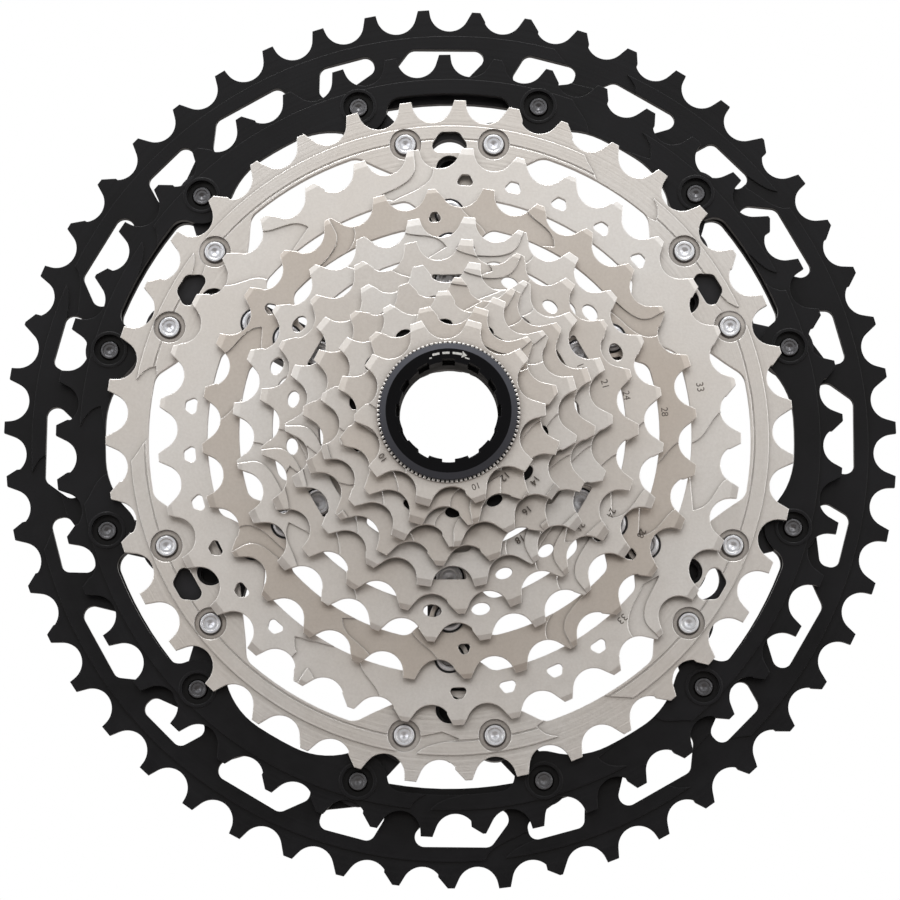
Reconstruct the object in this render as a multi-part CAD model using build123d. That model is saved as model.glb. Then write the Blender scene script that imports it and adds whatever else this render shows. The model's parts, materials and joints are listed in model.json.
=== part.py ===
from build123d import *
import os
from math import asin, atan2, cos, hypot, pi, radians, sin, sqrt

# Twelve-speed bicycle cassette, 10 to 51 teeth, on a riveted aluminium spider.
#
# Working frame of every function below: X right, Y up, Z forward along the wheel axle, towards the
# smallest sprocket. Angles run clockwise from the top, seen from the front. export() turns the
# finished pieces so that the axle lies along Y, the front faces -Y and the top faces +Z.
# Z = 0 is the rear face of the spider's hub, where the cassette meets the freehub's shoulder.

# ---- driving dimensions, millimetres and degrees ----
CHAIN_PITCH = 12.7
ROLLER_SEAT_R = 3.885
GULLET_R = 4.75
ALLOY_TOOTH_HEIGHT = 5.35
STEEL_TOOTH_HEIGHT = 5.0
SPROCKET_STEP = 3.55
LARGEST_MID_Z = 1.6
ALLOY_PLATE = 2.0
STEEL_PLATE = 1.6
TOOTH_RELIEF = 0.5
RELIEF_R = {51: 98.0, 45: 86.4, 39: 74.1}
RAMP_DEPTH = 0.5
TIP_BEVEL_DEPTH = 0.3
TIP_BEVEL_REACH = 1.6

ARM_ANGLES = [60 * k for k in range(6)]
OUTER_RIVET_R = 82.5
OUTER_RIVET_ANGLES = [14.8 + 30 * k for k in range(12)]
FORK_RIVET_R = 70.3
FORK_RIVET_SPREAD = 8.5
RIVET_SHANK_R = 1.95
RIVET_HOLE_R = 2.0
RIVET_HEAD_H = 0.8
REAR_HEAD_R = 3.0
OUTER_HEAD_R = 2.3
OUTER_HEAD_H = 0.75
FORK_HEAD_R = 2.65
FORK_HEAD_H = 1.0
ARM_HEAD_R = 3.0
ARM_HEAD_H = 0.6

# Rivet pockets: radius and depth.
OUTER_POCKET = (3.6, 1.2)
FORK_POCKET = (3.75, 0.9)

# Fine turned groove of the 39 tooth sprocket.
GROOVE_R = 70.6
GROOVE_WIDTH = 0.4
GROOVE_DEPTH = 0.2

SPLINE_COUNT = 23
SPLINE_MINOR_R = 14.1
SPLINE_MAJOR_R = 14.8
SPLINE_GROOVE_SHARE = 0.5

HUB_R = 20.0
COUNTERBORE_R = 17.0
COUNTERBORE_DEPTH = 15.5
PRONG_WIDTH = 8.0
FORK_ROOT_R = 54.0
FORK_TOP_R = 75.0
PAD_R = 5.8
ARM_END_R = 63.6
ARM_END_PAD_R = 4.2
ARM_END_HOLE = (2.4, 2.5)
BRIDGE_R = 71.3
OPEN_ARMS = (0, 120)
OVER_ARM_EASING = 3.5

SPACER_BORE_R = 15.0
WASHER_BORE_R = 13.2
WASHER_R = 15.95
WASHER_THICKNESS = 0.6
SERRATIONS = 96
SERRATION_DEPTH = 0.7
SERRATION_SHARE = 0.55

RING_FLANGE_R = 15.4
RING_FLANGE_H = 1.85
RING_BEVEL = 1.0
RING_BARREL_R = 12.9
RING_BARREL_LENGTH = 7.5
RING_BORE_R = 11.0
TOOL_NOTCHES = 12
TOOL_NOTCH_R = 11.75
TOOL_NOTCH_WIDTH = 2.8
TOOL_NOTCH_DEPTH = 4.4
THREAD_PITCH = 1.0
THREAD_DEPTH = 0.5

# Tooth styles: left and right half width of the tip, how far the tip sits below a full one, and
# the shoulder of a shifting tooth, as its offset across the tooth and down from the tip.
TOOTH_STYLES = {
    "F": (1.15, 1.55, 0.0, None),
    "P": (1.1, 0.5, 0.6, (2.7, 2.6)),
    "S": (1.0, 1.0, 0.55, (2.3, 2.2)),
    "K": (0.6, 0.1, 0.5, (2.6, 1.8)),
    "W": (1.0, 1.4, 0.5, (2.7, 2.5)),
    "N": (1.0, 0.85, 0.45, None),
    "L": (1.2, 0.85, 0.8, None),
    "B": (1.6, 1.6, 0.15, None),
}

# Sprockets from the wheel outwards: teeth, angle of the first tooth, tooth styles in turn.
SPROCKETS = [
    (51, 3.5, "SPWWFFKFPPNLFFFFF"),
    (45, -0.85, "FSPWWFFKFPPPLFF"),
    (39, 1.65, "FWPNFFPFPNNFF"),
    (33, 3.5, "FNNNNWPPWFF"),
    (28, 9.0, "FSNSPFLWFWPNFP"),
    (24, 5.2, "FSFWPNSF"),
    (21, 5.2, "FSFPNWF"),
    (18, 8.7, "FNFBSW"),
    (16, 4.0, "PFNBSFPW"),
    (14, 22.9, "BSBPBNW"),
    (12, 17.0, "BNPBSW"),
    (10, 15.8, "BBFBWBBPBF"),
]

# Sprockets riveted to the spider's arms: rivet radius, lug radius, inner radius between the arms.
ARM_LUGS = {33: (52.1, 4.5, 56.0), 28: (43.2, 4.5, 48.4), 24: (34.5, 4.3, 40.5)}
LUG_HOLE_R = 3.5
LUG_EASING = 3.0
SPIGOT_R = 3.4

# Steps of a spider arm, from the hub outwards: outer radius, rear Z, width, sprocket on its front.
ARM_STEPS = [(38.5, 9.0, 10.0, 24), (47.5, 6.5, 10.0, 28), (56.5, 4.5, 10.0, 33), (62.0, 2.6, 13.0, 39)]

# Shifting ramps: angles where a ramp comes in at a gullet, and where one leaves at a tooth.
RAMPS = {
    51: ([14.1, 134.1, 254.1], [52.9, 172.9, 292.9]),
    45: ([19.2, 139.2, 259.2], [63.2, 183.2, 303.2]),
    39: ([24.7, 144.7, 264.7], [66.3, 186.3, 306.3]),
    33: ([85.3, 194.4, 303.5], [134.4, 210.8, 352.6]),
    28: ([2.6, 92.6, 182.6, 272.6], [60.4, 150.4, 240.4, 330.4]),
    24: ([87.7, 207.7, 327.7], [20.2, 140.2, 260.2]),
    21: ([99.5, 219.5, 339.5], [22.3, 142.3, 262.3]),
    18: ([98.7, 218.7, 338.7], [28.7, 148.7, 268.7]),
    16: ([105.3, 195.3, 330.3], [26.5, 139.0, 229.0]),
    14: ([87.2, 215.7], [48.6, 177.2]),
    12: ([92.0, 212.0], [47.0, 167.0]),
    10: ([69.8, 213.8], [123.8]),
}


def mid_z(teeth):
    """Mid-plane of a sprocket."""
    order = [row[0] for row in SPROCKETS].index(teeth)
    return LARGEST_MID_Z + SPROCKET_STEP * order


def plate_thickness(teeth):
    return ALLOY_PLATE if teeth >= 39 else STEEL_PLATE


def rear_z(teeth):
    return mid_z(teeth) - plate_thickness(teeth) / 2


def front_z(teeth):
    return mid_z(teeth) + plate_thickness(teeth) / 2


def pitch_r(teeth):
    return CHAIN_PITCH / 2 / sin(pi / teeth)


def root_r(teeth):
    return pitch_r(teeth) - ROLLER_SEAT_R


def tip_r(teeth):
    return root_r(teeth) + (ALLOY_TOOTH_HEIGHT if teeth >= 39 else STEEL_TOOTH_HEIGHT)


def at(angle, across, out):
    """Point on a radius at an angle: across it clockwise, and out along it."""
    a = radians(angle)
    return Vector(across * cos(a) + out * sin(a), out * cos(a) - across * sin(a))


def polar(radius, angle):
    return at(angle, 0, radius)


def disc(radius, center=Vector(0, 0)):
    return Pos(center.X, center.Y) * Circle(radius)


def outline(points, radius):
    """Closed flat shape through the points, with round corners."""
    return make_face(FilletPolyline(*points, radius=radius, close=True))


def slab(sketch, low, high):
    return Pos(0, 0, low) * extrude(sketch, amount=high - low)


def ring_slab(outer, inner, low, high):
    return slab(Circle(outer) - Circle(inner), low, high)


# ---- toothed outline ----


def flank_foot(teeth, across, out):
    """Foot of a flank on the round gullet: by a tangent, or straight down from a wide shoulder."""
    half = pi / teeth
    to_across = (root_r(teeth) + GULLET_R) * sin(half) - across
    to_out = (root_r(teeth) + GULLET_R) * cos(half) - out
    reach = hypot(to_across, to_out)
    if reach <= GULLET_R:
        return across, out + to_out - sqrt(GULLET_R**2 - to_across**2)
    heading = atan2(to_out, to_across) - asin(GULLET_R / reach)
    run = sqrt(reach**2 - GULLET_R**2)
    return across + run * cos(heading), out + run * sin(heading)


def tooth_points(teeth, angle, style):
    """One tooth: left foot, left tip, right tip, an optional shoulder, right foot."""
    left, right, drop, shoulder = TOOTH_STYLES[style]
    top = tip_r(teeth) - drop
    corners = [(-left, top), (right, top)]
    if shoulder:
        corners.append((shoulder[0], top - shoulder[1]))
    foot_across, foot_out = flank_foot(teeth, left, top)
    corners.insert(0, (-foot_across, foot_out))
    corners.append(flank_foot(teeth, *corners[-1]))
    return [at(angle, *corner) for corner in corners]


def toothed_disc(teeth, phase, styles):
    """Full sprocket outline: straight flanks between round gullets."""
    step = 360 / teeth
    rows = [tooth_points(teeth, phase + step * k, styles[k % len(styles)]) for k in range(teeth)]
    edges = []
    for k, points in enumerate(rows):
        edges += [Line(a, b) for a, b in zip(points, points[1:])]
        seat = polar(root_r(teeth), phase + step * (k + 0.5))
        edges.append(ThreePointArc(points[-1], seat, rows[(k + 1) % teeth][0]))
    return make_face(edges)


# ---- details shared by sprockets ----


def ramp_in(teeth, angle):
    """Shallow field that starts at a gullet and leans forward towards the middle."""
    r = root_r(teeth)
    width = min(16.0, 2.6 * pi * r / teeth)
    path = [(0, r + 7), (0, r + 0.5), (1.6, r - 1.6), (4.4, r - 3.8), (7.0, r - 8.5)]
    left = [at(angle, across, out) for across, out in path]
    right = [at(angle, across + width, out) for across, out in path]
    edges = [Line(left[0], left[1]), Spline(*left[1:]), Line(left[-1], right[-1])]
    edges += [Spline(*right[1:]), Line(right[1], right[0]), Line(right[0], left[0])]
    return make_face(edges)


def ramp_out(teeth, angle):
    """Narrow curved band that leaves at a tooth and runs back along the sprocket."""
    r = root_r(teeth)
    path = [(0.3, r + 7), (0.2, r + 2), (-0.8, r - 1.2), (-4.2, r - 3.4), (-10.0, r - 5.4)]
    upper = [at(angle, across, out) for across, out in path]
    lower = [at(angle, across + 4.2, out - 1.2) for across, out in path[1:]]
    edges = [Line(upper[0], upper[1]), Spline(*upper[1:]), Line(upper[-1], lower[-1])]
    start = at(angle, 4.2, r + 7)
    edges += [Spline(*lower), Line(lower[0], start), Line(start, upper[0])]
    return make_face(edges)


def cut_ramps(plate, teeth):
    """Sink the shifting ramps into the front face."""
    entries, exits = RAMPS[teeth]
    fields = [ramp_in(teeth, angle) for angle in entries]
    fields += [ramp_out(teeth, angle) for angle in exits]
    top = front_z(teeth)
    return plate - [slab(field, top - RAMP_DEPTH, top + 1) for field in fields]


def bevel_tips(plate, teeth):
    """Bevel the tips of the teeth towards both faces."""
    inner, outer = tip_r(teeth) - TIP_BEVEL_REACH, tip_r(teeth) + 1
    drop = TIP_BEVEL_DEPTH * (TIP_BEVEL_REACH + 1) / TIP_BEVEL_REACH
    cuts = []
    for face, side in ((front_z(teeth), 1), (rear_z(teeth), -1)):
        profile = Polyline((inner, face), (outer, face - side * drop), (outer, face + side), close=True)
        cuts.append(revolve(Plane.XZ * make_face(profile), Axis.Z))
    return plate - cuts


def relieve_teeth(plate, teeth, inner):
    """Turn the tooth band of an alloy sprocket thinner outside a fine step."""
    top = front_z(teeth)
    return plate - ring_slab(tip_r(teeth) + 5, inner, top - TOOTH_RELIEF, top + 1)


def spline_bore():
    """Bore for a freehub with narrow splines."""
    pitch = 360 / SPLINE_COUNT
    half = pitch * SPLINE_GROOVE_SHARE / 2
    points = []
    for k in range(SPLINE_COUNT):
        mid = pitch * k
        points += [polar(SPLINE_MINOR_R, mid - half), polar(SPLINE_MAJOR_R, mid - half * 0.8)]
        points += [polar(SPLINE_MAJOR_R, mid + half * 0.8), polar(SPLINE_MINOR_R, mid + half)]
    return make_face(Polyline(*points, close=True))


def kidney(radius_in, radius_out, angle, spread):
    """Curved window with round corners between two radii."""
    corner = 1.6
    left, right = angle - spread, angle + spread
    edges = [
        ThreePointArc(polar(radius_out, left), polar(radius_out, angle), polar(radius_out, right)),
        Line(polar(radius_out, right), polar(radius_in, right)),
        ThreePointArc(polar(radius_in, right), polar(radius_in, angle), polar(radius_in, left)),
        Line(polar(radius_in, left), polar(radius_out, left)),
    ]
    window = make_face(edges)
    return fillet(window.vertices(), corner)


def oval(radius, angle, width, height):
    center = polar(radius, angle)
    return Pos(center.X, center.Y) * Rot(0, 0, -angle) * Ellipse(width / 2, height / 2)


def taper_hole(radius, angle, width, height):
    """Lightening hole that narrows outwards, with round corners."""
    low, high = radius - height / 2, radius + height / 2
    corners = [(-width / 2, low), (width / 2, low), (width * 0.2, high), (-width * 0.2, high)]
    return outline([at(angle, *corner) for corner in corners], height * 0.33)


# ---- 51 and 45 tooth sprockets, black alloy ----


def slanted_windows():
    """Slanted openings of the largest sprocket, wide and narrow in turn."""
    wide = [(-10.6, 87.2), (2.6, 87.2), (6.7, 95.2), (-5.7, 95.2)]
    narrow = [(-5.7, 87.4), (-1.8, 87.4), (4.0, 91.0), (3.9, 95.2), (-3.8, 95.2)]
    shapes = []
    for k in range(12):
        shapes.append(outline([polar(r, 30 * k + a) for a, r in wide], 2.3))
        shapes.append(outline([polar(r, 14.8 + 30 * k + a) for a, r in narrow], 2.1))
    return shapes


def between_arms(outer, inner):
    """Ring sectors between the arms, each from lobe to lobe."""
    wedges = []
    for arm in ARM_ANGLES:
        corners = [polar(2 * outer, arm + turn) for turn in (15, 30, 45)]
        wedges.append(make_face(Polyline(Vector(0, 0), *corners, close=True)))
    return (Circle(outer) - Circle(inner)) & (Sketch() + wedges)


def inner_corners(shape, radius):
    """Corners of the inner edge that lie at a radius."""
    return [v for v in shape.vertices() if abs(hypot(v.X, v.Y) - radius) < 0.02]


def alloy_ring(teeth, phase, styles, lobe, over_arm, between, easing):
    """Toothed alloy ring with round rivet lobes, before its pockets are cut."""
    edge = root_r(teeth) - 0.6
    lobes = [disc(lobe, polar(OUTER_RIVET_R, angle)) for angle in OUTER_RIVET_ANGLES]
    web = Circle(edge) - Circle(over_arm) + between_arms(over_arm + 1, between)
    web = (web + lobes) & Circle(edge)
    web = fillet(inner_corners(web, over_arm), OVER_ARM_EASING)
    web = fillet(inner_corners(web, between), easing)
    return toothed_disc(teeth, phase, styles) - Circle(edge - 0.4) + web


def sprocket_51(teeth, phase, styles):
    lip_inner, lip_outer, lip_turn = 81.3, 83.5, 13
    shape = alloy_ring(teeth, phase, styles, lobe=6.6, over_arm=82.6, between=81.9, easing=8.0)
    lips = Circle(lip_outer) - Circle(lip_inner)
    for arm in (0, 180):
        corners = [polar(2 * OUTER_RIVET_R, arm + turn) for turn in (-lip_turn, 0, lip_turn)]
        shape += lips & make_face(Polyline(Vector(0, 0), *corners, close=True))
    centers = [polar(OUTER_RIVET_R, angle) for angle in OUTER_RIVET_ANGLES]
    shape -= slanted_windows() + [disc(RIVET_HOLE_R, center) for center in centers]
    plate = slab(shape, rear_z(teeth), front_z(teeth))
    plate = relieve_teeth(plate, teeth, RELIEF_R[teeth])
    seats = [disc(REAR_HEAD_R + 0.1, center) for center in centers]
    plate -= [slab(seat, rear_z(teeth) - 1, rear_z(teeth) + RIVET_HEAD_H) for seat in seats]
    return cut_ramps(plate, teeth)


def sprocket_45(teeth, phase, styles):
    pocket_r, pocket_depth = OUTER_POCKET
    rim_r, rim_height = 4.3, 0.25
    shape = alloy_ring(teeth, phase, styles, lobe=6.8, over_arm=82.9, between=80.4, easing=18.0)
    plate = slab(shape, rear_z(teeth), front_z(teeth))
    plate = relieve_teeth(plate, teeth, RELIEF_R[teeth])
    plate = cut_ramps(plate, teeth)
    top = front_z(teeth)
    centers = [polar(OUTER_RIVET_R, angle) for angle in OUTER_RIVET_ANGLES]
    plate += [slab(disc(rim_r, center), top - 1, top + rim_height) for center in centers]
    plate -= [slab(disc(pocket_r, center), top - pocket_depth, top + 1) for center in centers]
    return plate - [slab(disc(RIVET_HOLE_R, center), rear_z(teeth) - 1, top) for center in centers]


# ---- 39 tooth sprocket ----


def fork_rivet_centers():
    angles = [arm + side * FORK_RIVET_SPREAD for arm in ARM_ANGLES for side in (-1, 1)]
    return [polar(FORK_RIVET_R, angle) for angle in angles]


def sprocket_39(teeth, phase, styles):
    """Turned ring with six lugs, each held by a pair of rivets."""
    inner, hole_r = 70.0, 3.2
    pocket_r, pocket_depth = FORK_POCKET
    half_lug = [(6.0, 59.3), (17.2, 64.2), (23.5, 67.3), (23.5, 71.0)]
    lug = [(-across, out) for across, out in half_lug[::-1]] + half_lug
    shape = toothed_disc(teeth, phase, styles) - Circle(inner)
    shape += [outline([at(arm, *corner) for corner in lug], 1.6) for arm in ARM_ANGLES]
    shape = fillet(inner_corners(shape, inner), 4.0)
    holes = [disc(hole_r, polar(ARM_END_R, arm)) for arm in ARM_ANGLES]
    holes += [taper_hole(70.1, arm, 11.0, 5.0) for arm in ARM_ANGLES if arm != 180]
    holes += [disc(RIVET_HOLE_R, center) for center in fork_rivet_centers()]
    plate = slab(shape - holes, rear_z(teeth), front_z(teeth))
    plate = relieve_teeth(plate, teeth, RELIEF_R[teeth])
    top = front_z(teeth)
    cuts = [slab(disc(pocket_r, spot), top - pocket_depth, top + 1) for spot in fork_rivet_centers()]
    plate -= cuts + [ring_slab(GROOVE_R + GROOVE_WIDTH, GROOVE_R, top - GROOVE_DEPTH, top + 1)]
    return cut_ramps(plate, teeth)


# ---- 33, 28 and 24 tooth sprockets, riveted to the arms ----


def lug_shape(arm, rivet_r, lug_r, inner):
    """Lug that narrows from a sprocket's ring to the round end about its rivet."""
    waist = [(11.5, inner + 0.8), (8.2, inner - 2.2), (lug_r, rivet_r - 0.5)]
    left = [at(arm, -across, out) for across, out in waist]
    right = [at(arm, across, out) for across, out in waist]
    edges = [ThreePointArc(*left), Line(left[2], right[2]), ThreePointArc(*right)]
    edges.append(Line(right[0], left[0]))
    return make_face(edges) + disc(lug_r, polar(rivet_r, arm))


def arm_sprocket(teeth, phase, styles, holes):
    """Steel sprocket with one lug over each arm."""
    rivet_r, lug_r, inner = ARM_LUGS[teeth]
    shape = toothed_disc(teeth, phase, styles) - Circle(inner)
    shape += [lug_shape(arm, rivet_r, lug_r, inner) for arm in ARM_ANGLES]
    shape = fillet(inner_corners(shape, inner), LUG_EASING)
    shape -= [disc(LUG_HOLE_R, polar(rivet_r, arm)) for arm in ARM_ANGLES] + holes
    return cut_ramps(bevel_tips(slab(shape, rear_z(teeth), front_z(teeth)), teeth), teeth)


def sprocket_33(teeth, phase, styles):
    step = 360 / teeth
    under = [0, 1, 2, 3, 4, 13, 14, 15, 16, 20, 21, 22, 23, 24, 25]
    holes = [taper_hole(60.2, phase + step * k, 4.9, 2.7) for k in under]
    return arm_sprocket(teeth, phase, styles, holes)


def sprocket_28(teeth, phase, styles):
    step = 360 / teeth
    holes = [taper_hole(50.5, phase + step * k, 3.6, 2.4) for k in (9, 13, 23, 27)]
    return arm_sprocket(teeth, phase, styles, holes)


def sprocket_24(teeth, phase, styles):
    angles = [turn + spot for turn in (0, 120, 240) for spot in (5.2, 50.2, 65.2)]
    return arm_sprocket(teeth, phase, styles, [oval(42.2, angle, 4.2, 2.9) for angle in angles])


# ---- loose sprockets, splined on the freehub ----


def loose_sprocket(teeth, phase, styles, holes):
    shape = toothed_disc(teeth, phase, styles) - ([spline_bore()] + holes)
    return cut_ramps(bevel_tips(slab(shape, rear_z(teeth), front_z(teeth)), teeth), teeth)


def arm_slot(angle):
    """Slot over a spider arm, straight along its outer side."""
    corners = [(-4.1, 35.3), (4.1, 35.3), (3.4, 32.7), (1.6, 31.4), (-1.6, 31.4), (-3.4, 32.7)]
    return outline([at(angle, *corner) for corner in corners], 0.5)


def sprocket_21(teeth, phase, styles):
    holes = [arm_slot(arm) for arm in ARM_ANGLES]
    holes += [oval(36.1, turn + spot, 3.9, 2.6) for turn in (0, 120, 240) for spot in (22.6, 39.9)]
    holes += [kidney(21.5, 29.5, arm + 30, 19) for arm in ARM_ANGLES]
    return loose_sprocket(teeth, phase, styles, holes)


def sprocket_18(teeth, phase, styles):
    holes = [kidney(22.5, 29.7, 30 * k, 10.5) for k in range(12)]
    return loose_sprocket(teeth, phase, styles, holes)


def sprocket_14(teeth, phase, styles):
    step = 360 / teeth
    holes = [oval(21.4, phase + step * k, 3.8, 2.5) for k in range(teeth)]
    return loose_sprocket(teeth, phase, styles, holes)


def plain_sprocket(teeth, phase, styles):
    return loose_sprocket(teeth, phase, styles, [])


# ---- spider ----


def arm_trunk(arm):
    """Stepped arm: each step's front seats one sprocket, and its rear takes the rivet's head."""
    trunk = []
    inner = HUB_R - 2
    for outer, low, width, teeth in ARM_STEPS:
        corners = [(-width / 2, inner), (width / 2, inner), (width / 2, outer), (-width / 2, outer)]
        bar = make_face(Polyline(*[at(arm, *corner) for corner in corners], close=True))
        trunk.append(slab(bar, low, rear_z(teeth)))
        inner = outer - 0.01
    return trunk


def prong(arm, side):
    """One prong of the fork, from the trunk to its outer rivet."""
    start = polar(FORK_ROOT_R + 3, arm)
    mid = polar(FORK_RIVET_R, arm + side * FORK_RIVET_SPREAD)
    end = polar(OUTER_RIVET_R, arm + side * 15 - 0.2)
    along = (end - start).normalized()
    half = Vector(-along.Y, along.X) * (PRONG_WIDTH / 2)
    bar = make_face(Polyline(start - half, start + half, end + half, end - half, close=True))
    low = bar + disc(PAD_R, end) + disc(PAD_R, mid)
    high = disc(PAD_R, mid) + (bar & Circle(FORK_TOP_R - 1.5))
    return [slab(low, front_z(51), rear_z(45)), slab(high, front_z(51), rear_z(39))]


def fork_web(arm):
    """Plate that closes a fork, or on an open arm only bridges its prongs beyond a window."""
    left = polar(FORK_RIVET_R, arm - FORK_RIVET_SPREAD)
    right = polar(FORK_RIVET_R, arm + FORK_RIVET_SPREAD)
    top = polar(FORK_TOP_R + 0.5, arm)
    shape = make_face(Polyline(polar(FORK_ROOT_R, arm), left, top, right, close=True))
    if arm in OPEN_ARMS:
        window_r = 5.0
        shape -= Circle(FORK_RIVET_R - 3) + disc(window_r, polar(BRIDGE_R - window_r, arm))
    return slab(shape, rear_z(39) - 3.0, rear_z(39))


def arm_end(arm):
    """Pad in the crotch of a fork, with a blind hole in its front."""
    radius, depth = ARM_END_HOLE
    center = polar(ARM_END_R, arm)
    pad = slab(disc(ARM_END_PAD_R, center), front_z(51), rear_z(39))
    return pad, slab(disc(radius, center), rear_z(39) - depth, rear_z(39) + 1)


def spider_hub():
    hub = ring_slab(HUB_R, SPLINE_MINOR_R - 2, 0, rear_z(21))
    flange = ring_slab(HUB_R + 3, HUB_R - 1, 9.0, 12.0)
    return hub + flange - slab(Circle(COUNTERBORE_R), -1, COUNTERBORE_DEPTH)


def arm_rivet_spots():
    """Centre, rear face and front face of every rivet that holds a sprocket to an arm."""
    rows = []
    for _, low, _, teeth in ARM_STEPS[:3]:
        for arm in ARM_ANGLES:
            rows.append((teeth, polar(ARM_LUGS[teeth][0], arm), low, front_z(teeth)))
    return rows


def spider():
    pieces, holes = [], []
    for arm in ARM_ANGLES:
        pad, blind_hole = arm_end(arm)
        pieces += arm_trunk(arm) + prong(arm, -1) + prong(arm, 1) + [fork_web(arm), pad]
        holes.append(blind_hole)
    for teeth, center, _, high in arm_rivet_spots():
        pieces.append(slab(disc(SPIGOT_R, center), rear_z(teeth) - 1, high))
    spots = fork_rivet_centers() + [polar(OUTER_RIVET_R, angle) for angle in OUTER_RIVET_ANGLES]
    spots += [row[1] for row in arm_rivet_spots()]
    holes += [slab(disc(RIVET_HOLE_R, spot), 0, rear_z(21)) for spot in spots]
    return spider_hub() + pieces - holes - slab(spline_bore(), -1, rear_z(21) + 1)


# ---- rivets ----


def rivet(center, low, high, head_r, head_low):
    """Shank with an upset rear head, and a bevelled front head with a ring ridge and a dimple."""
    rise = high - head_low
    profile = [(0, low - RIVET_HEAD_H), (REAR_HEAD_R, low - RIVET_HEAD_H), (REAR_HEAD_R, low)]
    profile += [(RIVET_SHANK_R, low), (RIVET_SHANK_R, head_low), (head_r, head_low)]
    profile += [(head_r, head_low + rise * 0.35), (head_r * 0.86, high), (head_r * 0.66, high)]
    profile += [(head_r * 0.6, high - rise * 0.3), (head_r * 0.36, high - rise * 0.3)]
    profile.append((0, high - rise * 0.8))
    face = make_face(Polyline(*profile, close=True))
    return Pos(center.X, center.Y) * revolve(Plane.XZ * face, Axis.Z)


def outer_rivets():
    low, seat = rear_z(51) + RIVET_HEAD_H, front_z(45) - OUTER_POCKET[1]
    top = seat + OUTER_HEAD_H
    centers = [polar(OUTER_RIVET_R, angle) for angle in OUTER_RIVET_ANGLES]
    return [rivet(center, low, top, OUTER_HEAD_R, seat) for center in centers]


def fork_rivets():
    seat = front_z(39) - FORK_POCKET[1]
    top = seat + FORK_HEAD_H
    return [rivet(center, front_z(51), top, FORK_HEAD_R, seat) for center in fork_rivet_centers()]


def arm_rivets(teeth):
    rows = [row for row in arm_rivet_spots() if row[0] == teeth]
    return [rivet(spot, low, seat + ARM_HEAD_H, ARM_HEAD_R, seat) for _, spot, low, seat in rows]


# ---- spacers, washer and lock ring ----


def spacer(inner_teeth, outer_teeth, outer_r):
    """Ring that keeps two loose sprockets apart."""
    return ring_slab(outer_r, SPACER_BORE_R, front_z(inner_teeth), rear_z(outer_teeth))


def lock_washer():
    """Washer with a square-toothed rim that bites under the lock ring."""
    step = 360 / SERRATIONS
    root = WASHER_R - SERRATION_DEPTH
    points = []
    for k in range(SERRATIONS):
        start, end = step * k, step * (k + SERRATION_SHARE)
        points += [polar(root, start), polar(WASHER_R, start), polar(WASHER_R, end), polar(root, end)]
    shape = make_face(Polyline(*points, close=True)) - Circle(WASHER_BORE_R)
    return slab(shape, front_z(10), front_z(10) + WASHER_THICKNESS)


def lock_ring():
    """Threaded barrel under a bevelled flange, with notches for the tool."""
    seat = front_z(10) + WASHER_THICKNESS
    top = seat + RING_FLANGE_H
    rear = seat - RING_BARREL_LENGTH
    body = ring_slab(RING_FLANGE_R, RING_BORE_R, seat, top)
    rim = body.edges().filter_by(GeomType.CIRCLE).group_by(Axis.Z)[-1].sort_by(SortBy.RADIUS)[-1]
    body = chamfer(rim, RING_BEVEL * 0.9, RING_BEVEL * 1.4)
    body += ring_slab(RING_BARREL_R, RING_BORE_R, rear, seat)
    turns = int(RING_BARREL_LENGTH / THREAD_PITCH) - 1
    for k in range(turns):
        z = rear + THREAD_PITCH * (k + 0.8)
        groove = Polyline(
            (RING_BARREL_R + 0.1, z - 0.45),
            (RING_BARREL_R - THREAD_DEPTH, z),
            (RING_BARREL_R + 0.1, z + 0.45),
            close=True,
        )
        body -= revolve(Plane.XZ * make_face(groove), Axis.Z)
    for k in range(TOOL_NOTCHES):
        slot = Pos(0, TOOL_NOTCH_R - 2) * Rectangle(TOOL_NOTCH_WIDTH, 4)
        body -= slab(Rot(0, 0, 30 * k) * slot & Circle(TOOL_NOTCH_R), top - TOOL_NOTCH_DEPTH, top + 1)
    return body


# ---- assembly ----

MAKERS = {51: sprocket_51, 45: sprocket_45, 39: sprocket_39, 33: sprocket_33, 28: sprocket_28}
MAKERS.update({24: sprocket_24, 21: sprocket_21, 18: sprocket_18, 14: sprocket_14})
SPACERS = [(21, 18, 19.0), (18, 16, 18.5), (16, 14, 23.5), (14, 12, 17.5), (12, 10, 16.2)]


def export(name, pieces):
    """Turn a node into the part's frame and write it."""
    shape = Compound(children=pieces) if isinstance(pieces, list) else pieces
    export_step(Rot(90, 0, 0) * shape, f"parts/{name}.step")


def main():
    os.makedirs("parts", exist_ok=True)
    for teeth, phase, styles in SPROCKETS:
        make = MAKERS.get(teeth, plain_sprocket)
        export(f"sprocket_{teeth}t", make(teeth, phase, styles))
    export("spider", spider())
    export("rivets_51t_45t", outer_rivets())
    export("rivets_39t", fork_rivets())
    for teeth in ARM_LUGS:
        export(f"rivets_{teeth}t", arm_rivets(teeth))
    for inner_teeth, outer_teeth, outer_r in SPACERS:
        export(f"spacer_{inner_teeth}t_{outer_teeth}t", spacer(inner_teeth, outer_teeth, outer_r))
    export("lock_ring_washer", lock_washer())
    export("lock_ring", lock_ring())


main()
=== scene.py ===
import json
import math

import bpy
from mathutils import Matrix, Vector


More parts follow.
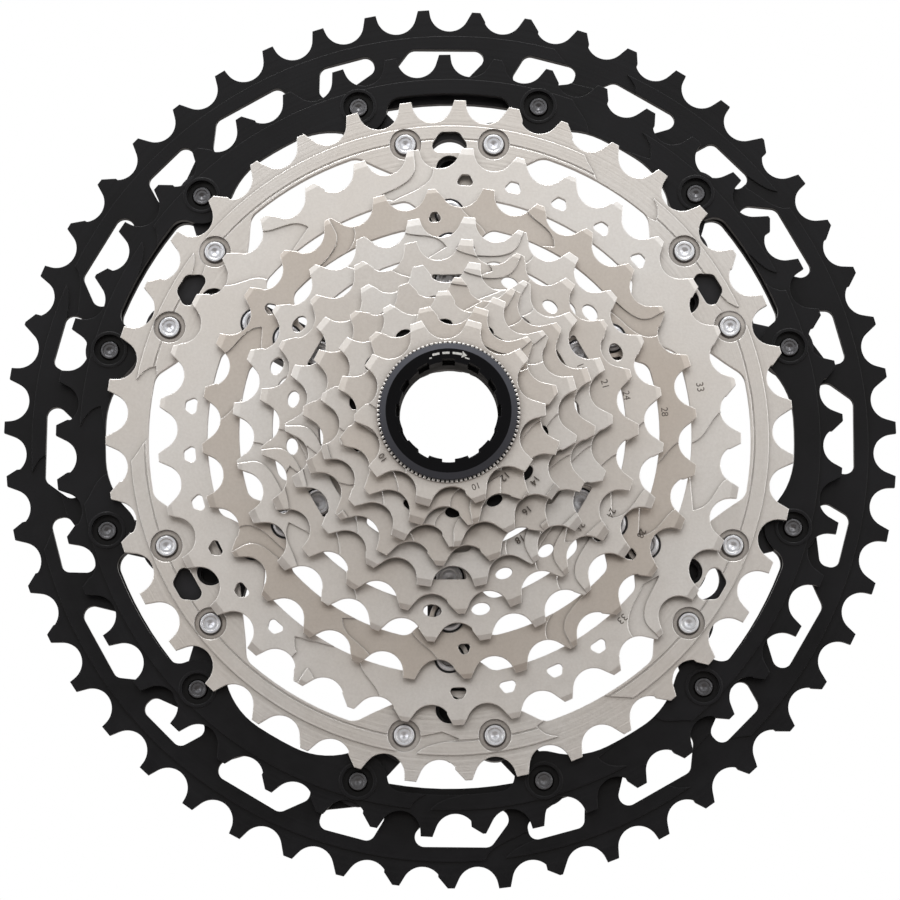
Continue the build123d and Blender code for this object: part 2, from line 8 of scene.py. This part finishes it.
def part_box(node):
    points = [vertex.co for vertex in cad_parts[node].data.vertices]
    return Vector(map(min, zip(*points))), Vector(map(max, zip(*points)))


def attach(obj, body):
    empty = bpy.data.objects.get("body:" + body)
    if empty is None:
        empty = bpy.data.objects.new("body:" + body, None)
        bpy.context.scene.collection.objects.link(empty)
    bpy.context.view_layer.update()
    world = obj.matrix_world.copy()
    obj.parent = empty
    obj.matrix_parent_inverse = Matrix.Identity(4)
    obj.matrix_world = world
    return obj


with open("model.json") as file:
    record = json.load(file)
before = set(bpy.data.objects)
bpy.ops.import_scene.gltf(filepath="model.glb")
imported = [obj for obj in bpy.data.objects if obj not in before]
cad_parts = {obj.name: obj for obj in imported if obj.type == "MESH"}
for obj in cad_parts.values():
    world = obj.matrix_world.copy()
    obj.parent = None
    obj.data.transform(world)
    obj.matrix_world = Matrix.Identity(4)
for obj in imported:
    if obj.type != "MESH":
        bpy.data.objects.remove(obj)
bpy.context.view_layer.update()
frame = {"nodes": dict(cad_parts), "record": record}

# Frame: metres, axle along Y, the lock ring's side faces -Y, top +Z. Angles run clockwise from the
# top, seen from the lock ring's side.
MM = 0.001
BODY_OF = {node: body for body, nodes in frame["record"]["behaviour"]["bodies"].items() for node in nodes}


def front_y(node):
    """The plane of a node's front."""
    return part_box(node)[0].y


def rear_y(node):
    """The plane of a node's back."""
    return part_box(node)[1].y


def polar(radius, angle, y=0.0):
    """A point at a radius and an angle round the axle."""
    a = math.radians(angle)
    return Vector((radius * math.sin(a), y, radius * math.cos(a)))


# ---- camera and light ----

CAMERA_DISTANCE = 0.77988
CAMERA_AZIMUTH = math.radians(0.362)
CAMERA_ELEVATION = math.radians(-9.335)
CAMERA_LENS = 133.0
CAMERA_SHIFT = (0.0003, -0.0098)
SENSOR_WIDTH = 36
NEAREST, FARTHEST = 0.05, 50

# Each light's name, place, width and height, power and colour. All point at the object.
LIGHTS = [
    ("key", (-0.10, -0.32, 1.1), (0.9, 0.35), 8.0, (1.0, 0.99, 0.975)),
    ("strip_left", (-0.98, -0.50, 0.1), (0.16, 0.9), 2.6, (0.97, 0.98, 1.0)),
    ("strip_right", (0.98, -0.50, 0.1), (0.16, 0.9), 2.0, (1.0, 0.99, 0.98)),
    ("rim", (-0.3, 0.9, 0.7), (0.9, 0.6), 4.0, (1.0, 1.0, 1.0)),
]

# Heights in the studio's sky, from straight down at 0 to straight up at 1, and their shades.
SKY = [
    (0.0, (0.03, 0.028, 0.026)),
    (0.47, (0.04, 0.035, 0.03)),
    (0.52, (0.13, 0.117, 0.105)),
    (0.58, (0.72, 0.69, 0.66)),
    (0.62, (1.18, 1.15, 1.12)),
    (0.66, (1.55, 1.53, 1.50)),
    (0.74, (1.0, 1.0, 1.0)),
    (0.86, (0.9, 0.9, 0.9)),
    (1.0, (2.6, 2.6, 2.65)),
]


def make_camera():
    """A long lens, square on to the axle and a little below it."""
    data = bpy.data.cameras.new("camera")
    camera = bpy.data.objects.new("camera", data)
    bpy.context.scene.collection.objects.link(camera)
    data.lens = CAMERA_LENS
    data.sensor_width = SENSOR_WIDTH
    data.shift_x, data.shift_y = CAMERA_SHIFT
    data.clip_start, data.clip_end = NEAREST, FARTHEST
    a, e = CAMERA_AZIMUTH, CAMERA_ELEVATION
    back = Vector((math.sin(a) * math.cos(e), -math.cos(a) * math.cos(e), math.sin(e)))
    target = Vector((0, (front_y("sprocket_51t") + rear_y("sprocket_51t")) / 2, 0))
    camera.location = target + back * CAMERA_DISTANCE
    camera.rotation_mode = "QUATERNION"
    camera.rotation_quaternion = (-back).to_track_quat("-Z", "Y")
    bpy.context.scene.camera = camera


def area_light(name, place, size, power, color):
    """A rectangular lamp that points at the object's middle."""
    data = bpy.data.lights.new(name, "AREA")
    data.shape = "RECTANGLE"
    data.size, data.size_y = size
    data.energy = power
    data.color = color
    light = bpy.data.objects.new(name, data)
    bpy.context.scene.collection.objects.link(light)
    light.location = place
    light.rotation_mode = "QUATERNION"
    light.rotation_quaternion = (-Vector(place)).to_track_quat("-Z", "Y")


def make_world():
    """White behind the object, and a soft room that is much brighter above than below."""
    world = bpy.data.worlds.new("studio")
    bpy.context.scene.world = world
    world.use_nodes = True
    nodes, links = world.node_tree.nodes, world.node_tree.links
    nodes.clear()

    coords = nodes.new("ShaderNodeTexCoord")
    split = nodes.new("ShaderNodeSeparateXYZ")
    links.new(coords.outputs["Generated"], split.inputs[0])
    height = nodes.new("ShaderNodeMapRange")
    links.new(split.outputs["Z"], height.inputs["Value"])
    height.inputs["From Min"].default_value = -1.0
    ramp = nodes.new("ShaderNodeValToRGB")
    links.new(height.outputs["Result"], ramp.inputs[0])
    shades = ramp.color_ramp.elements
    shades[0].position, shades[0].color = SKY[0][0], (*SKY[0][1], 1)
    shades[1].position, shades[1].color = SKY[-1][0], (*SKY[-1][1], 1)
    for place, color in SKY[1:-1]:
        shades.new(place).color = (*color, 1)

    room = nodes.new("ShaderNodeBackground")
    links.new(ramp.outputs[0], room.inputs["Color"])
    white = nodes.new("ShaderNodeBackground")
    white.inputs["Color"].default_value = (1, 1, 1, 1)
    mix = nodes.new("ShaderNodeMixShader")
    path = nodes.new("ShaderNodeLightPath")
    links.new(path.outputs["Is Camera Ray"], mix.inputs[0])
    links.new(room.outputs[0], mix.inputs[1])
    links.new(white.outputs[0], mix.inputs[2])
    out = nodes.new("ShaderNodeOutputWorld")
    links.new(mix.outputs[0], out.inputs[0])
    bpy.context.scene.view_settings.view_transform = "Standard"


# ---- materials ----


class Surface:
    """A material under construction: a Principled shader and the textures that feed it."""

    def __init__(self, name, rough, metallic, **fixed):
        self.material = bpy.data.materials.new(name)
        self.material.use_nodes = True
        self.nodes = self.material.node_tree.nodes
        self.links = self.material.node_tree.links
        self.shader = self.nodes["Principled BSDF"]
        self.shader.inputs["Roughness"].default_value = rough
        self.shader.inputs["Metallic"].default_value = metallic
        for socket, value in fixed.items():
            self.shader.inputs[socket.replace("_", " ")].default_value = value
        self.place = self.nodes.new("ShaderNodeTexCoord").outputs["Object"]

    def feed(self, value, socket):
        """Link another node's output to a socket, or set a plain value on it."""
        if isinstance(value, bpy.types.NodeSocket):
            self.links.new(value, socket)
        else:
            socket.default_value = value

    def math(self, operation, a, b=0.0):
        """One sum of two values."""
        node = self.nodes.new("ShaderNodeMath")
        node.operation = operation
        self.feed(a, node.inputs[0])
        self.feed(b, node.inputs[1])
        return node.outputs[0]

    def noise(self, scale, detail=3.0):
        """Soft noise in space, with its scale in features a metre."""
        node = self.nodes.new("ShaderNodeTexNoise")
        node.inputs["Scale"].default_value = scale
        node.inputs["Detail"].default_value = detail
        self.links.new(self.place, node.inputs["Vector"])
        return node.outputs["Fac"]

    def axis(self, name):
        """One coordinate of the point, in metres."""
        split = self.nodes.new("ShaderNodeSeparateXYZ")
        self.links.new(self.place, split.inputs[0])
        return split.outputs[name]

    def radius(self):
        """The distance from the axle."""
        x, z = self.axis("X"), self.axis("Z")
        return self.math("SQRT", self.math("ADD", self.math("MULTIPLY", x, x), self.math("MULTIPLY", z, z)))

    def turning(self, lines_per_metre):
        """Fine marks of the lathe, round the axle."""
        node = self.nodes.new("ShaderNodeTexNoise")
        node.noise_dimensions = "1D"
        node.inputs["Detail"].default_value = 4.0
        node.inputs["Scale"].default_value = lines_per_metre
        self.links.new(self.radius(), node.inputs["W"])
        return node.outputs["Fac"]

    def spread(self, value, low, high, start=0.3, end=0.7):
        """Stretch a value from start and end to low and high, and hold it outside them."""
        node = self.nodes.new("ShaderNodeMapRange")
        self.links.new(value, node.inputs["Value"])
        node.inputs["From Min"].default_value = start
        node.inputs["From Max"].default_value = end
        node.inputs["To Min"].default_value = low
        node.inputs["To Max"].default_value = high
        return node.outputs["Result"]

    def color(self, share, first, second):
        """A blend of two colours: the first at a share of 0, the second at 1."""
        node = self.nodes.new("ShaderNodeMix")
        node.data_type = "RGBA"
        self.feed(share, node.inputs["Factor"])
        self.feed(first, node.inputs["A"])
        self.feed(second, node.inputs["B"])
        return node.outputs["Result"]

    def recess(self):
        """Painted shade, from ambient occlusion: 1 in corners and under edges, 0 on open faces."""
        node = self.nodes.new("ShaderNodeAmbientOcclusion")
        node.inputs["Distance"].default_value = RECESS_REACH
        node.samples = 6
        return self.spread(node.outputs["AO"], 1.0, 0.0, 0.35, 0.92)

    def rounded(self, width):
        """The normal of a face whose sharp edges are rounded over a width."""
        node = self.nodes.new("ShaderNodeBevel")
        node.samples = 4
        node.inputs["Radius"].default_value = width
        return node.outputs[0]

    def worn(self, rounded):
        """1 on a rounded edge, 0 on an open face: where edges are lightened by wear and a painted
        highlight.
        """
        geometry = self.nodes.new("ShaderNodeNewGeometry")
        dot = self.nodes.new("ShaderNodeVectorMath")
        dot.operation = "DOT_PRODUCT"
        self.links.new(rounded, dot.inputs[0])
        self.links.new(geometry.outputs["True Normal"], dot.inputs[1])
        return self.spread(dot.outputs["Value"], 1.0, 0.0, 0.90, 0.99)

    def finish(self, color, rough=None, bumps=(), normal=None):
        """Wire the colour, the roughness and any bumps, each a height and its depth in metres."""
        self.feed(color, self.shader.inputs["Base Color"])
        if rough is not None:
            self.feed(rough, self.shader.inputs["Roughness"])
        for height, depth in bumps:
            node = self.nodes.new("ShaderNodeBump")
            node.inputs["Distance"].default_value = depth
            node.inputs["Strength"].default_value = 1.0
            self.links.new(height, node.inputs["Height"])
            if normal is not None:
                self.links.new(normal, node.inputs["Normal"])
            normal = node.outputs[0]
        if normal is not None:
            self.links.new(normal, self.shader.inputs["Normal"])
        return self.material


def shade(r, g, b):
    """A colour with no transparency."""
    return (r, g, b, 1.0)


RECESS_REACH = 2.6 * MM
EDGE_WIDTH = 0.26 * MM
GRAIN_DEPTH = 0.012 * MM
NICKEL_LATHE, NICKEL_LATHE_DEPTH = 1500.0, 0.03 * MM
BLACK_LATHE, BLACK_LATHE_DEPTH = 900.0, 0.02 * MM
# The lock ring's bevel starts between these two radii.
RING_BEVEL = (13.5 * MM, 13.8 * MM)
# Painted shade, tinted brown, laid into corners and under edges.
PAINTED_CORNER_SHADE = shade(0.085, 0.062, 0.048)
BLACK = shade(0.0015, 0.0015, 0.0017)
# The nickel's edge colour: bare metal where edges wear, made brighter as a painted highlight.
EDGE_WEAR_AND_HIGHLIGHT = shade(0.96, 0.95, 0.93)
# The black alloy's edge colour: a little lighter from wear and a painted highlight.
BLACK_EDGE_WEAR_AND_HIGHLIGHT = shade(0.03, 0.03, 0.033)


def scaled(color, factor):
    """A colour made lighter or darker."""
    return shade(*[channel * factor for channel in color[:3]])


def nickel(name, light, warm, turned=False, painted_shade_share=0.8, satin=0.37, edge=EDGE_WEAR_AND_HIGHLIGHT):
    """Satin nickel: a faint cloud, a fine grain, painted shade in the corners and edges brightened by wear
    and a painted highlight.
    """
    s = Surface(name, satin, 1.0)
    cloud = s.spread(s.noise(30.0, 5.0), 0.0, 1.0)
    speckle = s.spread(s.noise(1700.0, 3.0), 0.0, 0.3)
    color = s.color(cloud, light, warm)
    color = s.color(speckle, color, scaled(warm, 0.82))
    # Painted shade in corners and under edges, by a given share.
    color = s.color(s.math("MULTIPLY", s.recess(), painted_shade_share), color, PAINTED_CORNER_SHADE)
    rounded = s.rounded(EDGE_WIDTH)
    # Edges lightened by wear and a painted highlight.
    color = s.color(s.math("MULTIPLY", s.worn(rounded), 0.85), color, edge)
    rough = s.spread(s.noise(420.0, 3.0), satin - 0.04, satin + 0.04)
    bumps = [(s.noise(2600.0, 3.0), GRAIN_DEPTH)]
    if turned:
        bumps.append((s.turning(NICKEL_LATHE), NICKEL_LATHE_DEPTH))
    return s.finish(color, rough, bumps, rounded)


def anodised(name, dark, light, turned=False, rough=0.36, bevel_sheen=None, gloss=1.29, corner_shade=BLACK):
    """Black anodised alloy: grain, a faint bloom, painted shade in the corners, edges lightened by wear and
    a painted highlight, and rings of the lathe or a painted sheen on a bevelled face.
    """
    s = Surface(name, rough, 0.0, IOR=gloss)
    bloom = s.spread(s.noise(55.0, 4.0), 0.0, 1.0)
    # Painted shade in corners and under edges.
    color = s.color(s.recess(), s.color(bloom, dark, light), corner_shade)
    # Painted sheen: the slanted face of the lock ring's bevel is made paler.
    if bevel_sheen:
        geometry = s.nodes.new("ShaderNodeNewGeometry")
        split = s.nodes.new("ShaderNodeSeparateXYZ")
        s.links.new(geometry.outputs["True Normal"], split.inputs[0])
        facing = s.math("ABSOLUTE", split.outputs["Y"])
        slanted = s.spread(facing, 1.0, 0.0, 0.90, 0.97)
        outside = s.spread(s.radius(), 0.0, 1.0, *RING_BEVEL)
        color = s.color(s.math("MULTIPLY", slanted, outside), color, bevel_sheen)
    rounded = s.rounded(EDGE_WIDTH)
    # Edges lightened by wear and a painted highlight.
    color = s.color(s.math("MULTIPLY", s.worn(rounded), 0.5), color, BLACK_EDGE_WEAR_AND_HIGHLIGHT)
    bumps = [(s.noise(3200.0, 2.0), GRAIN_DEPTH)]
    if turned:
        bumps.append((s.turning(BLACK_LATHE), BLACK_LATHE_DEPTH))
    return s.finish(color, s.spread(s.noise(300.0), rough - 0.06, rough + 0.08), bumps, rounded)


# Sprocket by sprocket, how light and how brown the plating came out.
PLATING = {
    39: (0.96, 0.3),
    33: (1.02, 0.2),
    28: (0.86, 0.9),
    24: (1.0, 0.25),
    21: (0.93, 0.5),
    18: (0.98, 0.2),
    16: (0.90, 0.6),
    14: (0.97, 0.3),
    12: (0.92, 0.65),
    10: (0.97, 0.4),
}
TURNED_SPROCKET = 39
COOL_NICKEL = (0.77, 0.765, 0.755)
BROWN_NICKEL = (0.70, 0.645, 0.59)
CLOUDED = (0.93, 0.90, 0.87)


def plated(teeth):
    """The plating of one sprocket. Only the alloy one shows rings of the lathe."""
    level, brown = PLATING[teeth]
    mixed = [(c + (b - c) * brown) * level for c, b in zip(COOL_NICKEL, BROWN_NICKEL)]
    light = shade(*mixed)
    warm = shade(*[channel * share for channel, share in zip(mixed, CLOUDED)])
    return nickel(f"nickel_{teeth}t", light, warm, teeth == TURNED_SPROCKET)


def make_materials():
    """Every material of the CAD nodes, by node or by the record's slot."""
    made = {}
    for teeth in PLATING:
        made[f"sprocket_{teeth}t"] = plated(teeth)
    made["black_alloy"] = anodised(
        "black_alloy",
        dark=shade(0.003, 0.003, 0.0038),
        light=shade(0.006, 0.006, 0.0075),
        turned=True,
    )
    made["spider_alloy"] = anodised(
        "spider_alloy",
        dark=shade(0.022, 0.022, 0.026),
        light=shade(0.030, 0.030, 0.034),
        # Painted shade in the spider's corners.
        corner_shade=shade(0.010, 0.010, 0.011),
    )
    made["spacer_alloy"] = anodised(
        "spacer_alloy",
        dark=shade(0.006, 0.006, 0.007),
        light=shade(0.010, 0.010, 0.011),
    )
    made["ring_alloy"] = anodised(
        "ring_alloy",
        dark=shade(0.001, 0.001, 0.0015),
        light=shade(0.002, 0.002, 0.003),
        rough=0.5,
        gloss=1.18,
        # Painted sheen on the slanted face of the bevel.
        bevel_sheen=shade(0.05, 0.052, 0.062),
    )
    made["dark_rivet"] = nickel(
        "dark_rivet",
        light=shade(0.15, 0.152, 0.16),
        warm=shade(0.10, 0.102, 0.11),
        # The share of painted shade in the corners.
        painted_shade_share=0.6,
        satin=0.32,
        edge=shade(0.14, 0.14, 0.15),
    )
    made["bright_rivet"] = nickel(
        "bright_rivet",
        light=shade(0.80, 0.82, 0.86),
        warm=shade(0.62, 0.64, 0.69),
        # The share of painted shade in the corners.
        painted_shade_share=0.95,
        satin=0.40,
    )
    made["washer_steel"] = nickel(
        "washer_steel",
        light=shade(0.92, 0.90, 0.88),
        warm=shade(0.85, 0.82, 0.79),
    )
    return made


# ---- the CAD nodes ----


def dress_nodes(materials):
    """Give each CAD node its material: its own where it has one, or else its slot's."""
    for row in frame["record"]["subparts"]:
        part = frame["nodes"][row["node"]]
        part.data.materials.clear()
        part.data.materials.append(materials.get(row["node"]) or materials[row["material_slot"]])


# ---- printed and stamped marks ----

MARK_RISE = 0.015 * MM
# Stamped tooth counts: the sprocket, the angle and radius of each stamp, and the figures' height.
STAMPS = [
    (33, [(79.5, 59.0), (137.5, 58.5)], 2.4),
    (28, [(85.0, 49.7), (118.5, 50.0)], 2.2),
    (24, [(79.5, 41.3), (118.0, 41.8)], 2.2),
    (21, [(75.0, 36.8), (128.0, 37.7)], 2.2),
    (18, [(67.0, 32.6), (149.0, 31.0)], 2.2),
    (16, [(139.5, 27.0)], 2.2),
    (14, [(126.5, 24.0)], 2.2),
    (12, [(138.0, 18.7)], 2.2),
    (10, [(160.0, 17.7), (235.0, 17.8)], 2.0),
]
# Printed dashes on the lock ring: inner and outer radius, first and last angle.
DASHES = [
    (12.75, 13.25, -16, -9),
    (12.75, 13.25, -6, 1),
    (12.75, 13.25, 4, 14),
    (12.3, 12.6, -20, -17.5),
    (12.3, 12.6, 17, 22),
]
# The printed arrow's corners: radius and angle.
ARROW = [(13.0, 18.5), (13.75, 13.5), (12.25, 13.5)]
# Radii and steps of the dark sheet of painted shade under the washer.
SHADE_SHEET_INNER, SHADE_SHEET_OUTER = 14.0, 15.85
SHADE_SHEET_STEPS = 96


def add_piece(name, vertices, faces, material, body):
    """A new piece of the object that rides on a body."""
    mesh = bpy.data.meshes.new(name)
    mesh.from_pydata(vertices, [], faces)
    mesh.validate()
    mesh.update()
    mesh.materials.append(material)
    piece = bpy.data.objects.new(name, mesh)
    bpy.context.scene.collection.objects.link(piece)
    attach(piece, body)
    return piece


def stamped_number(teeth, index, angle, radius, size, material):
    """The number of teeth, stamped beside a tooth and dark with oil."""
    curve = bpy.data.curves.new("number", "FONT")
    curve.body = str(teeth)
    curve.size = size * MM
    curve.extrude = MARK_RISE
    curve.align_x = "CENTER"
    curve.align_y = "CENTER"
    writer = bpy.data.objects.new("number", curve)
    mesh = bpy.data.meshes.new_from_object(writer)
    across = polar(1.0, angle + 90)
    out = polar(1.0, angle)
    node = f"sprocket_{teeth}t"
    place = polar(radius * MM, angle, front_y(node))
    turn = Matrix((across, out, across.cross(out))).transposed().to_4x4()
    mesh.transform(Matrix.Translation(place) @ turn)
    mesh.materials.append(material)
    piece = bpy.data.objects.new(f"number_{teeth}_{index}", mesh)
    bpy.context.scene.collection.objects.link(piece)
    bpy.data.objects.remove(writer)
    bpy.data.curves.remove(curve)
    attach(piece, BODY_OF[node])


def arc_band(inner, outer, start, end, y, steps=8):
    """Vertices and faces of a thin raised band between two radii and two angles."""
    rows = []
    for k in range(steps + 1):
        angle = start + (end - start) * k / steps
        for radius, depth in ((inner, 0), (inner, MARK_RISE), (outer, MARK_RISE), (outer, 0)):
            rows.append(polar(radius * MM, angle, y - depth))
    faces = []
    for k in range(steps):
        for j in range(4):
            a, b = 4 * k + j, 4 * k + (j + 1) % 4
            faces.append((a, b, b + 4, a + 4))
    faces += [(3, 2, 1, 0), (4 * steps, 4 * steps + 1, 4 * steps + 2, 4 * steps + 3)]
    return rows, faces


def ring_print(material):
    """Arrow and dashes printed on the lock ring, which show the way that it tightens."""
    y = front_y("lock_ring")
    for index, (inner, outer, start, end) in enumerate(DASHES):
        rows, faces = arc_band(inner, outer, start, end, y)
        add_piece(f"ring_mark_{index}", rows, faces, material, "lock_ring")
    corners = [polar(r * MM, a, y - MARK_RISE * rise) for rise in (1, 0) for r, a in ARROW]
    sides = [(j, (j + 1) % 3, (j + 1) % 3 + 3, j + 3) for j in range(3)]
    add_piece("ring_arrow", corners, [(0, 2, 1), (3, 4, 5)] + sides, material, "lock_ring")


def washer_shadow(material):
    """Painted shade: a dark sheet under the washer's serrated rim, where the gaps between its teeth show
    only shade.
    """
    rows, faces = arc_band(SHADE_SHEET_INNER, SHADE_SHEET_OUTER, 0, 360, front_y("sprocket_10t"), SHADE_SHEET_STEPS)
    without_caps = faces[:-2]
    add_piece("washer_shade_sheet", rows, without_caps, material, "lock_washer")


def mark_materials():
    """The dark stamps, the lock ring's pale ink and the dark sheet of painted shade under the washer."""
    stamp = Surface("stamp_dark", 0.6, 0.3)
    patchy = stamp.spread(stamp.noise(2500.0, 3.0), 0.0, 1.0, 0.4, 0.6)
    stamp.finish(stamp.color(patchy, shade(0.05, 0.042, 0.036), shade(0.16, 0.135, 0.115)))
    ink = Surface("ring_ink", 0.6, 0.0)
    worn = ink.spread(ink.noise(3000.0, 2.0), 0.0, 1.0, 0.35, 0.65)
    ink.finish(ink.color(worn, shade(0.62, 0.62, 0.60), shade(0.42, 0.42, 0.41)))
    # A dark sheet of painted shade for under the washer.
    shade_sheet = Surface("painted_shade_sheet", 0.5, 0.0)
    shade_sheet.finish(shade_sheet.color(shade_sheet.noise(900.0), shade(0.004, 0.004, 0.004), shade(0.012, 0.011, 0.010)))
    return stamp.material, ink.material, shade_sheet.material


def make_marks():
    """Every printed and stamped mark, and the dark sheet of painted shade under the washer."""
    stamp, ink, shade_sheet = mark_materials()
    for teeth, spots, size in STAMPS:
        for index, (angle, radius) in enumerate(spots):
            stamped_number(teeth, index, angle, radius, size, stamp)
    ring_print(ink)
    washer_shadow(shade_sheet)


# ---- floor ----

FLOOR_Z = -0.30
FLOOR_HALF = 6.0


def floor_material():
    """Pale paper, which lights the object from below less than it shows to the camera."""
    s = Surface("floor_paper", 0.8, 0.0)
    cloud = s.spread(s.noise(3.0), 0.0, 1.0)
    seen = s.color(cloud, shade(0.86, 0.86, 0.855), shade(0.84, 0.84, 0.84))
    path = s.nodes.new("ShaderNodeLightPath")
    return s.finish(s.color(path.outputs["Is Camera Ray"], shade(0.22, 0.20, 0.185), seen))


def make_floor(material):
    """A plain sheet well below the object."""
    mesh = bpy.data.meshes.new("floor")
    corners = [(-1, -1), (1, -1), (1, 1), (-1, 1)]
    mesh.from_pydata([(x * FLOOR_HALF, y * FLOOR_HALF, FLOOR_Z) for x, y in corners], [], [(0, 1, 2, 3)])
    mesh.materials.append(material)
    floor = bpy.data.objects.new("floor", mesh)
    bpy.context.scene.collection.objects.link(floor)


make_camera()
make_world()
for name, place, size, power, color in LIGHTS:
    area_light(name, place, size, power, color)
dress_nodes(make_materials())
make_marks()
make_floor(floor_material())
